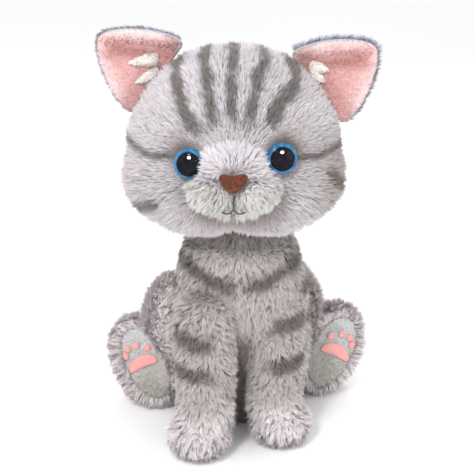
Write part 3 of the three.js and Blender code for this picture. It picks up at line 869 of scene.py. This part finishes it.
def make_stage():
    camera_data = bpy.data.cameras.new("camera")
    camera_data.lens = CAMERA_LENS
    camera_data.sensor_width = 36
    camera = bpy.data.objects.new("camera", camera_data)
    elevation = math.radians(CAMERA_ELEVATION)
    target = Vector(CAMERA_TARGET) * MM
    back = Vector((0, -math.cos(elevation), math.sin(elevation)))
    camera.location = target + back * CAMERA_DISTANCE * MM
    camera.rotation_euler = (-back).to_track_quat("-Z", "Y").to_euler()
    scene.collection.objects.link(camera)
    scene.camera = camera
    scene.view_settings.view_transform = "Standard"

    world = bpy.data.worlds.new("studio")
    world.use_nodes = True
    world.node_tree.nodes["Background"].inputs["Color"].default_value = (1, 1, 1, 1)
    world.node_tree.nodes["Background"].inputs["Strength"].default_value = WORLD_STRENGTH
    scene.world = world

    add_light("key", (-220, -560, 640), 160, KEY_WATTS)
    add_light("fill", (480, -420, 260), 320, FILL_WATTS)
    add_light("rim", (120, 460, 480), 300, RIM_WATTS)

    floor_mesh = bpy.data.meshes.new("floor")
    builder = bmesh.new()
    bmesh.ops.create_grid(builder, x_segments=8, y_segments=8, size=4)
    builder.to_mesh(floor_mesh)
    builder.free()
    surface, tree, shader = new_material("studio_floor", 0.7)
    noise = texture(tree, "ShaderNodeTexNoise", 3)
    tint(tree, shader, (0.93, 0.93, 0.93), (0.96, 0.96, 0.96), noise.outputs["Fac"])
    floor = add_object("floor", floor_mesh, surface)


def add_light(name, position, size, watts):
    data = bpy.data.lights.new(name, "AREA")
    data.shape = "DISK"
    data.size = size * MM
    data.energy = watts
    light = bpy.data.objects.new(name, data)
    light.location = Vector(position) * MM
    towards = Vector((0, -20, 100)) * MM - light.location
    light.rotation_euler = towards.to_track_quat("-Z", "Y").to_euler()
    scene.collection.objects.link(light)
    return light


make_stage()
EYES = {side: np.array(eye_frame(side).translation) for side in SIDES}


# Head


def push_back_from_eyes(points):
    """Presses the fabric in behind each eye, so that the plastic sits in a shallow socket."""
    for side in SIDES:
        matrix = eye_frame(side)
        local = into_frame(matrix, points)
        off_axis = np.hypot(local[:, 0], local[:, 2])
        socket = (local[:, 1] < 6) & (off_axis < IRIS_RADIUS + 2)
        local[socket, 1] = np.maximum(local[socket, 1], 0.7)
        points = apply_frame(matrix, local)
    return points


head_eggs = [egg(HEAD, SKULL_RADII), egg(HEAD + np.array(CROWN[0]), CROWN[1])]
for sign in SIDES.values():
    offset = np.array(CHEEK_OFFSET) * (sign, 1, 1)
    head_eggs.append(egg(HEAD + offset, CHEEK_RADII))
    head_eggs.append(egg(HEAD + np.array(JAW_OFFSET) * (sign, 1, 1), JAW_RADII))
head_cover = soft_cover("head_cover", head_eggs, "head", ["head_skin"], head_colour,
                        reshape=push_back_from_eyes)

muzzle_eggs = [egg(HEAD + np.array(CHIN[0]), CHIN[1]), egg(HEAD + np.array(BRIDGE[0]), BRIDGE[1])]
for sign in SIDES.values():
    muzzle_eggs.append(egg(HEAD + np.array(WHISKER_PAD_OFFSET) * (sign, 1, 1), WHISKER_PAD_RADII))
muzzle_cover = soft_cover("muzzle_cover", muzzle_eggs, "head", ["muzzle"], muzzle_colour, voxel=1.0,
                          smoothing=8, reshape=push_back_from_eyes)


def eye_distance(points):
    """How far each point is from the nearest eye's axis."""
    nearest = np.full(len(points), 1e9)
    for side in SIDES:
        local = into_frame(eye_frame(side), points)
        off_axis = np.hypot(local[:, 0], local[:, 2]) + np.maximum(local[:, 1] - 8, 0)
        nearest = np.minimum(nearest, off_axis)
    return nearest


def head_comb(points):
    local = points - HEAD
    away = unit(local - np.array(NOSE_TIP))
    down = np.array([0, 0.2, -1.0])
    behind = smooth_step(local[:, 1], 4, 26)
    return mix(away, np.broadcast_to(down, away.shape), behind)


def head_length(points):
    local = points - HEAD
    jowl = (1 - smooth_step(local[:, 2], -26, 2)) * smooth_step(np.abs(local[:, 0]), 12, 34)
    near_nose = 1 - smooth_step(np.linalg.norm(local - NOSE_TIP, axis=1), 10, 24)
    length = 4.4 + 3.4 * jowl - 0.4 * near_nose
    return length * (0.3 + 0.7 * smooth_step(eye_distance(points), 7.5, 15))


def inside_muzzle(points):
    local = (points - HEAD - np.array([0, -33, -10])) / np.array([17, 9, 12])
    return np.linalg.norm(local, axis=1) < 1


def ear_root_share(points):
    """True where an ear grows out of the head."""
    covered = np.zeros(len(points), bool)
    for side in SIDES:
        local = into_frame(ear_frame(side), points)
        in_plate = (local[:, 1] > -2.5) & (local[:, 1] < 2.4) & (np.abs(local[:, 2]) < 12)
        covered |= in_plate & (np.abs(local[:, 0]) < EAR_HALF_WIDTH - 2)
    return covered


def head_keep(points, normals):
    return (eye_distance(points) > IRIS_RADIUS + 0.8) & ~inside_muzzle(points) & ~ear_root_share(points)


def quarters(points):
    left, front = points[:, 0] < HEAD[0], points[:, 1] < HEAD[1]
    return {
        "_front_left": left & front,
        "_front_right": ~left & front,
        "_back_left": left & ~front,
        "_back_right": ~left & ~front,
    }


fur("head_fur", head_cover, "head", head_colour, head_comb, head_length, 5.2, 101, head_keep,
    lean=(22, 64), width=0.25, spread=10, clump=0.3, spacing=2.2, split=quarters)


def muzzle_comb(points):
    local = points - HEAD
    from_nose = local - np.array(NOSE_TIP)
    above = smooth_step(from_nose[:, 2], 0, 5)
    down = np.stack([0.55 * np.sign(local[:, 0]) * np.minimum(np.abs(local[:, 0]) / 6, 1),
                     np.full(len(points), -0.1), np.full(len(points), -1.0)], 1)
    return mix(down, unit(from_nose), above)


def muzzle_length(points):
    local = points - HEAD
    from_nose = np.linalg.norm((local - np.array(NOSE_TIP))[:, ::2], axis=1)
    return 5.4 - 2.6 * (1 - smooth_step(from_nose, 4, 11))


def muzzle_keep(points, normals):
    local = points - HEAD
    under_nose = (np.hypot(local[:, 0] / 4.6, (local[:, 2] - NOSE_TIP[2]) / 3.4) < 1) & (local[:, 1] < -40)
    return (eye_distance(points) > IRIS_RADIUS - 1.5) & ~under_nose & (local[:, 1] < -26)


fur("muzzle_fur", muzzle_cover, "head", muzzle_colour, muzzle_comb, muzzle_length, 9, 102,
    muzzle_keep, lean=(26, 62), spread=13, clump=0.68, spacing=2.2)


# Nose and mouth


def nose_outline():
    right = [(0, 3.5), (1.9, 3.8), (4, 4.4), (5.6, 4.1), (6.5, 2.8), (6.2, 1), (4.9, -1.1), (3.2, -2.7),
             (1.5, -4.1), (0, -4.5)]
    return right[::-1] + [(-a, b) for a, b in right[1:-1]]


nose_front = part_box("nose")[0][1] / MM + 0.6
nose_place = Matrix.Translation(Vector((middle("nose")[0], nose_front + 1.9, middle("nose")[2])))
nose_place = nose_place @ Matrix.Rotation(math.radians(-8), 4, "X")
nose_piece = crowned("nose_pad", nose_outline(), dome_profile(1.6, 2.6), nose_place, materials["suede"])
place(subdivided(nose_piece, 2), "head", "suede", "nose")

thread_data = bpy.data.curves.new("mouth_thread", "CURVE")
thread_data.dimensions = "3D"
thread_data.bevel_depth = 0.35 * MM
thread_data.bevel_resolution = 2
thread_data.use_fill_caps = True
mouth_low, mouth_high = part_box("mouth_stitch")
mouth_x = middle("mouth_stitch")[0]
mouth_front = mouth_low[1] / MM + 2
for points in (
    [(0, 0.3, 0), (0, 0.2, -3), (0, 0.4, -6.4)],
    [(0, 0.4, -6.2), (2.2, 0.6, -8.2), (5.2, 1.8, -8.0)],
    [(0, 0.4, -6.2), (-2.2, 0.6, -8.2), (-5.2, 1.8, -8.0)],
):
    spline = thread_data.splines.new("BEZIER")
    spline.bezier_points.add(len(points) - 1)
    for knot, (across, behind, up) in zip(spline.bezier_points, points):
        knot.co = Vector((mouth_x + across, mouth_front + behind, mouth_high[2] / MM + up)) * MM
        knot.handle_left_type = "AUTO"
        knot.handle_right_type = "AUTO"
thread_data.materials.append(materials["thread"])
mouth_thread = bpy.data.objects.new("mouth_thread", thread_data)
scene.collection.objects.link(mouth_thread)
place(mouth_thread, "head", "thread", "mouth_stitch")


# Eyes


def dome_depth(radius):
    return EYE_DOME * math.sqrt(max(0.0, 1 - (radius / (IRIS_RADIUS + 0.15)) ** 2)) + 0.3


def eye_profile(inner, outer, proud):
    """Rings of one shared dome between two radii, closed at the back; shares are of the outer radius."""
    steps = np.linspace(inner, outer, 9)
    front = [(radius / outer, -dome_depth(radius) - proud) for radius in steps]
    back = [(1.0, -0.1), (inner / outer, -0.1)] if inner else [(1.0, -0.1), (0, -0.1)]
    profile = [*front, *back]
    return [*profile, profile[0]] if inner else profile


for side, sign in SIDES.items():
    matrix = eye_frame(side) @ Matrix.Rotation(math.radians(EYE_PITCH), 4, "X")
    circle = oval(PUPIL_RADIUS, PUPIL_RADIUS, 48)
    pupil = crowned(f"pupil_{side}", circle, eye_profile(0, PUPIL_RADIUS, 0.08), matrix, materials["pupil"])
    place(pupil, "head", "eye_plastic", f"eye_{side}")
    circle = oval(IRIS_RADIUS, IRIS_RADIUS, 48)
    iris = crowned(f"iris_{side}", circle, eye_profile(PUPIL_RADIUS - 0.1, IRIS_RADIUS, 0), matrix,
                   materials["iris"])
    place(iris, "head", "iris_plastic", f"eye_ring_{side}")
    only_pupil = bpy.data.collections.new(f"catch_light_{side}")
    only_pupil.objects.link(pupil)
    light_place = np.array(CATCH_LIGHT_PLACE) * (sign, 1, 1)
    catch_light = add_light(f"catch_light_{side}", light_place, CATCH_LIGHT_SIZE, CATCH_LIGHT_WATTS)
    catch_light.light_linking.receiver_collection = only_pupil


# Ears


def ear_outline(grow=0.0, sign=1):
    """A soft-pointed cat ear; the points run round from the root's inner end."""
    half, tall = EAR_HALF_WIDTH + grow, EAR_HEIGHT + grow
    right = [(half, -EAR_ROOT), (half, 0), (half - 1.2, 5), (half - 3.4, 10.5), (half - 6.4, 16),
             (half - 10, 21), (half - 13.6, 25), (half - 17, tall - 1.2), (half - 19.6, tall)]
    left = [(-half + 18.4, tall - 0.8), (-half + 14.8, 25), (-half + 11.2, 21), (-half + 7.4, 16),
            (-half + 4.2, 10.5), (-half + 1.8, 5), (-half, 0), (-half, -EAR_ROOT)]
    bottom = [(a, -EAR_ROOT) for a in np.linspace(-half, half, 9)[1:-1]]
    points = right + left + bottom
    return [(sign * a, b) for a, b in points]


def beside_crease(points, sign):
    """How far each ear point is from the ear's crease; positive is on the upper, folded-over side."""
    start, end = np.array(EAR_CREASE_START, float), np.array(EAR_CREASE_END, float)
    along = unit(end - start)
    flat = np.stack([points[:, 0] * sign, points[:, 2]], 1) - start
    return flat[:, 1] * along[0] - flat[:, 0] * along[1]


def ear_cup(sign):
    """Bends the ear forward at its edges, and folds its upper part over along a soft crease."""

    def warp(points):
        across, up = points[:, 0] / EAR_HALF_WIDTH, points[:, 2] / EAR_HEIGHT
        cup = 3.6 * across**2 * np.clip(1.1 - up, 0, 1)
        beside = beside_crease(points, sign)
        lip = 1.3 * smooth_step(beside, 0, 5) * (1 - 0.6 * smooth_step(beside, 6, 14))
        crease = 0.9 * np.exp(-((beside + 0.8) / 2.2) ** 2)
        points = points.copy()
        points[:, 1] += -cup + (crease - lip) * (points[:, 1] < -0.3) + 1.4
        return points

    return warp


def ear_colour(side):
    matrix = ear_frame(side)
    sign = SIDES[side]

    def colour(points):
        local = into_frame(matrix, points)
        across, up = local[:, 0] * sign / EAR_HALF_WIDTH, local[:, 2]
        rim = smooth_step(np.abs(across) + np.clip(up / EAR_HEIGHT, 0, 1) * 0.75, 0.62, 0.98)
        beside = beside_crease(local, sign)
        # painted shadow in the crease under the folded-over lip, and painted shade near the ear's root
        crease_shadow = np.exp(-((beside + 1) / np.where(beside > -1, 2.6, 4)) ** 2) * (1 - smooth_step(up, 19, 26))
        root_shade = 0.4 * (1 - smooth_step(up, 1, 8))
        # paler towards the rim; the folded-over lip above the crease gets painted light
        pale_rim_and_lit_lip = np.maximum(rim, smooth_step(beside, 2, 7))
        return mix(mix(EAR_PINK, EAR_RIM_AND_LIT_PINK, pale_rim_and_lit_lip), EAR_SHADOW_PINK, np.maximum(0.85 * crease_shadow, root_shade))

    return colour


def tuft_colour(points):
    return mix(TUFT_CREAM, TUFT_CREAM * 0.9, 0.5 + 0.5 * waves(points, 4, 72))


def ear_back_colour(points):
    return mix(EAR_FRINGE, CHEEK_GREY, 0.2 + 0.2 * waves(points, 9, 71))


def wedge_outline(long):
    """A felt strip that narrows to a point."""
    half = WEDGE_HALF_WIDTH
    return [(0, -half), (long * 0.55, -half * 0.9), (long * 0.95, -0.5), (long, 0), (long * 0.95, 0.5),
            (long * 0.55, half * 0.9), (0, half)]


def ear_comb(points):
    local = points - HEAD
    return unit(local * np.array([1.0, 0, 1.0]))


for side, sign in SIDES.items():
    matrix = ear_frame(side)
    body = f"ear_{side}"
    lining = crowned(f"ear_{side}_cup", ear_outline(-0.6, sign), LINING_PROFILE, matrix,
                     materials["ear_pile"], ear_cup(sign))
    # painted shade: the lining under the pile is darkened
    paint(lining.data, ear_colour(side)(mesh_points(lining.data)) * 0.8)
    place(subdivided(lining, 1), body, "ear_minky", f"ear_{side}_lining")
    shell = crowned(f"ear_{side}_back", ear_outline(0, sign), SHELL_PROFILE, matrix, materials["backing"],
                    ear_cup(sign))
    # painted shade: the ear's back under its fur is darkened by BACKING_SHADE
    paint(shell.data, ear_back_colour(mesh_points(shell.data)) * BACKING_SHADE)
    place(subdivided(shell, 1), body, "fur", f"ear_{side}_shell")

    def front_face(points, normals, matrix=matrix):
        return (ahead(matrix, normals) > 0.1) & (into_frame(matrix, points)[:, 2] > -3)

    def back_face(points, normals, matrix=matrix):
        return (ahead(matrix, normals) < -0.1) & (into_frame(matrix, points)[:, 2] > -3)

    fur(f"ear_{side}_pile", lining, body, ear_colour(side), ear_comb, 1.1, 14, 201, front_face,
        lean=(12, 44), width=0.26, spread=30, clump=0.15, spacing=1.6, surface="ear_pile")
    fur(f"ear_{side}_fur", shell, body, ear_back_colour, ear_comb, EAR_FUR_LENGTH[side], 8, 202,
        back_face, lean=(28, 66), width=0.26, spread=16, clump=0.3, spacing=2.0)

    for index, (across, up, long, angle) in enumerate(WEDGES[side]):
        turn = math.radians(angle)
        outline = [
            (across + a * math.cos(turn) - b * math.sin(turn), up + a * math.sin(turn) + b * math.cos(turn))
            for a, b in wedge_outline(long)
        ]
        wedge = crowned(f"ear_{side}_wedge_{index + 1}", mirrored(outline, sign), WEDGE_PROFILE, matrix,
                        materials["felt"], ear_cup(sign))
        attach(wedge, body)
        pointing = np.array(matrix)[:3, :3] @ np.array([sign * math.cos(turn), -0.1, math.sin(turn)])
        fur(f"ear_{side}_wedge_{index + 1}_pile", wedge, body, tuft_colour, one_way(*pointing), 2.6,
            16, 203, lean=(40, 78), width=0.3, spread=8, clump=0.3, spacing=1.6)
    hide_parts(f"ear_{side}_tuft")


# Body


def body_eggs():
    eggs = []
    heights = np.linspace(BODY_OUTLINE[0][1], BODY_OUTLINE[-1][1], 14)
    outline = np.array(BODY_OUTLINE)
    for height in heights:
        radius = np.interp(height, outline[:, 1], outline[:, 0])
        eggs.append(egg((0, -BODY_LEAN * height, height), (radius, radius * BODY_DEPTH, 13.5)))
    return eggs


body_cover = soft_cover("body_cover", body_eggs(), "torso", ["body_skin"], body_colour)


falling = one_way(0, -0.15, -1.0)


def body_keep(points, normals):
    hidden = (points[:, 2] < 2) | (points[:, 2] > 108)
    for side in SIDES:
        thigh = (points - on_side(side, THIGH[0], HIP_OUT[side])) / (np.array(THIGH[1]) - 5)
        hidden |= np.linalg.norm(thigh, axis=1) < 1
        start, end = on_side(side, SHOULDER), on_side(side, WRIST)
        hidden |= line_distance(points, [start, end]) < SHOULDER_RADIUS - 5
    return ~hidden


def front_and_back(points):
    front = points[:, 1] < -BODY_LEAN * points[:, 2]
    return {"_front": front, "_back": ~front}


fur("body_fur", body_cover, "torso", body_colour, falling, 4.7, 4.6, 103, body_keep, lean=(26, 66),
    spread=28, clump=0.36, spacing=2.2, split=front_and_back)


# Neck: a furred collar over the ball that the head turns on

neck_egg = egg(NECK + np.array(NECK_FUR_OFFSET), NECK_FUR_RADII)
neck_cover = soft_cover("neck_cover", [neck_egg], "neck", ["neck_wad"], neck_colour)
fur("neck_fur", neck_cover, "neck", neck_colour, falling, 5.5, 4.2, 108, lean=(24, 60))


# Front legs

for side, sign in SIDES.items():
    start, end = on_side(side, SHOULDER), on_side(side, WRIST)
    eggs = limb(start, SHOULDER_RADIUS, end, WRIST_RADIUS)
    eggs.append(egg(on_side(side, FRONT_PAW[0]), FRONT_PAW[1]))
    cover = soft_cover(f"front_leg_{side}_cover", eggs, f"front_leg_{side}", [f"front_leg_{side}_skin"],
                       front_leg_colour(side))
    paw = on_side(side, FRONT_PAW[0])

    def leg_comb(points, paw=paw):
        near_paw = 1 - smooth_step(points[:, 2], 14, 26)
        outward = unit((points - paw) * np.array([1, 1, 0.4])) + np.array([0, -0.5, -0.5])
        return mix(np.broadcast_to(np.array([0, -0.2, -1.0]), points.shape), outward, near_paw)

    def leg_keep(points, normals):
        inside = np.linalg.norm(
            (points - np.array([0, -BODY_LEAN * 60, 60])) / np.array([27, 23, 70]), axis=1) < 1
        return (points[:, 2] > 1.2) & ~inside

    fur(f"front_leg_{side}_fur", cover, f"front_leg_{side}", front_leg_colour(side), leg_comb, 5.2,
        4.8, 104, leg_keep)


# Hind legs


def flat_sole(side):
    matrix = sole_frame(side)

    def reshape(points):
        local = into_frame(matrix, points)
        near = np.hypot(local[:, 0] / (SOLE_RADII[0] + 1.4), local[:, 2] / (SOLE_RADII[1] + 1.4)) < 1
        local[near, 1] = np.maximum(local[near, 1], 0)
        return apply_frame(matrix, local)

    return reshape


for side, sign in SIDES.items():
    matrix = sole_frame(side)
    body = f"hind_leg_{side}"
    foot_place = (sign * FOOT_OUTWARD[side], FOOT_BEHIND_SOLE, 0)
    foot = matrix @ Matrix.Translation(foot_place) @ Matrix.Diagonal((*FOOT_RADII, 1))
    thigh = egg(on_side(side, THIGH[0], HIP_OUT[side]), THIGH[1])
    shank = egg(on_side(side, SHANK[0]), SHANK[1])
    cover = soft_cover(f"hind_leg_{side}_cover", [foot, thigh, shank], body, [f"hind_leg_{side}_skin"],
                       hind_leg_colour(side), reshape=flat_sole(side))

    def foot_comb(points, matrix=matrix):
        local = into_frame(matrix, points)
        radial = unit(local * np.array([1 / SOLE_RADII[0], 0, 1 / SOLE_RADII[1]]))
        forward = (radial * 0.75 + np.array([0, -1.0, 0])) @ np.array(matrix)[:3, :3].T
        on_foot = 1 - smooth_step(local[:, 1], 14, 22)
        return mix(np.broadcast_to(np.array([0, 0.25, -1.0]), points.shape), forward, on_foot)

    def foot_keep(points, normals, matrix=matrix):
        local = into_frame(matrix, points)
        on_sole = (local[:, 1] < 0.8) & (
            np.hypot(local[:, 0] / SOLE_RADII[0], local[:, 2] / SOLE_RADII[1]) < 0.98)
        centre = np.array([0, -BODY_LEAN * points[:, 2].mean(), 0])
        inside = np.hypot(points[:, 0] / 27, (points[:, 1] - centre[1]) / 23) < 1
        return (points[:, 2] > 1.2) & ~on_sole & ~inside

    def foot_length(points, matrix=matrix):
        local = into_frame(matrix, points)
        return 5.4 + 1.2 * (1 - smooth_step(local[:, 1], 4, 14))

    fur(f"hind_leg_{side}_fur", cover, body, hind_leg_colour(side), foot_comb, foot_length, 4.6, 105,
        foot_keep, lean=(24, 64), spread=24)

    sole_outline = oval(SOLE_RADII[0] - 0.3, SOLE_RADII[1] - 0.3, 48)
    sole = crowned(f"sole_{side}_pad", sole_outline, dome_profile(0.7, 1.2), matrix, materials["backing"])

    def sole_colour(points, matrix=matrix):
        towards_toes = smooth_step(into_frame(matrix, points)[:, 2], -10, 10)
        worn = 0.5 + 0.5 * waves(points, 6, 61)
        return mix(HEEL_GREY, SOLE_GREY, towards_toes) * (1 - 0.12 * worn)[:, None]

    # painted shade: the sole under its pile is darkened
    paint(sole.data, sole_colour(mesh_points(sole.data)) * 0.75)
    place(subdivided(sole, 1), body, "sole_pile", f"sole_{side}")

    def sole_face(points, normals, matrix=matrix):
        return ahead(matrix, normals) > 0.2

    up_the_sole = one_way(*np.array(matrix)[:3, 2])
    fur(f"sole_{side}_pile", sole, body, sole_colour, up_the_sole, 1.4, 12, 106, sole_face,
        lean=(14, 50), width=0.26, spread=40, clump=0.25, spacing=1.5)

    pad_outline = [(-8.4, -2.4), (-7.2, -3.5), (-3.6, -3.1), (0, -2.8), (3.6, -3.1), (7.2, -3.5), (8.4, -2.4),
                   (7.8, -0.4), (6, 1.8), (3.4, 2.9), (0, 3.4), (-3.4, 2.9), (-6, 1.8), (-7.8, -0.4)]
    pad_centre = matrix @ Matrix.Translation((sign * MAIN_PAD_PLACE[0], -1.9, MAIN_PAD_PLACE[1]))
    pad = crowned(f"main_pad_{side}", pad_outline, dome_profile(1.1, 0.9), pad_centre, materials["satin"])
    place(subdivided(pad, 2), body, "pad_satin", f"pad_{side}")
    for index, (outward, along) in enumerate(TOE_PAD_PLACES):
        toe_place = matrix @ Matrix.Translation((sign * outward, -1.8, along))
        toe = crowned(f"toe_pad_{side}_{index + 1}", oval(*TOE_PAD_RADII, 16), dome_profile(0.8, 0.8, rings=5),
                      toe_place, materials["satin"])
        place(subdivided(toe, 2), body, "pad_satin", f"toe_{side}_{index + 1}")


# Tail


def tail_points(steps):
    """The tail's middle line, rounded between its knots."""
    knots = [Vector(point) for point in TAIL_PATH]
    knots = [knots[0] * 2 - knots[1], *knots, knots[-1] * 2 - knots[-2]]
    points = []
    for index in range(1, len(knots) - 2):
        before, first, second, after = knots[index - 1:index + 3]
        for step in range(steps):
            t = step / steps
            square = 2 * before - 5 * first + 4 * second - after
            cube = 3 * first - before - 3 * second + after
            points.append(0.5 * ((2 * first) + (second - before) * t + square * t**2 + cube * t**3))
    return [*points, knots[-2]]


tail_line = tail_points(6)
tail_cover = soft_cover("tail_cover", [egg(point, (TAIL_RADIUS,) * 3) for point in tail_line], "tail",
                        ["tail_skin"], tail_colour)


def tail_comb(points):
    line = np.array([tuple(point) for point in tail_line])
    nearest = np.argmin(np.linalg.norm(points[:, None, :] - line[None, :, :], axis=2), axis=1)
    direction = line[np.minimum(nearest + 1, len(line) - 1)] - line[np.maximum(nearest - 1, 0)]
    return unit(direction)


def tail_keep(points, normals):
    return (points[:, 2] > 1.2) & (points[:, 1] > 14)


fur("tail_fur", tail_cover, "tail", tail_colour, tail_comb, 5.4, 4.6, 107, tail_keep, lean=(24, 62))


# The CAD nodes that stay, mostly inside the covers

CARRIED = {
    "stuffing": "stuffing",
    "pellet_bag": "pellet_cloth",
    "seat_panel": "seat",
    "washer": "washer",
}
for name, node in frame["nodes"].items():
    for word, surface in CARRIED.items():
        if word in name:
            node.data.materials.clear()
            node.data.materials.append(materials[surface])
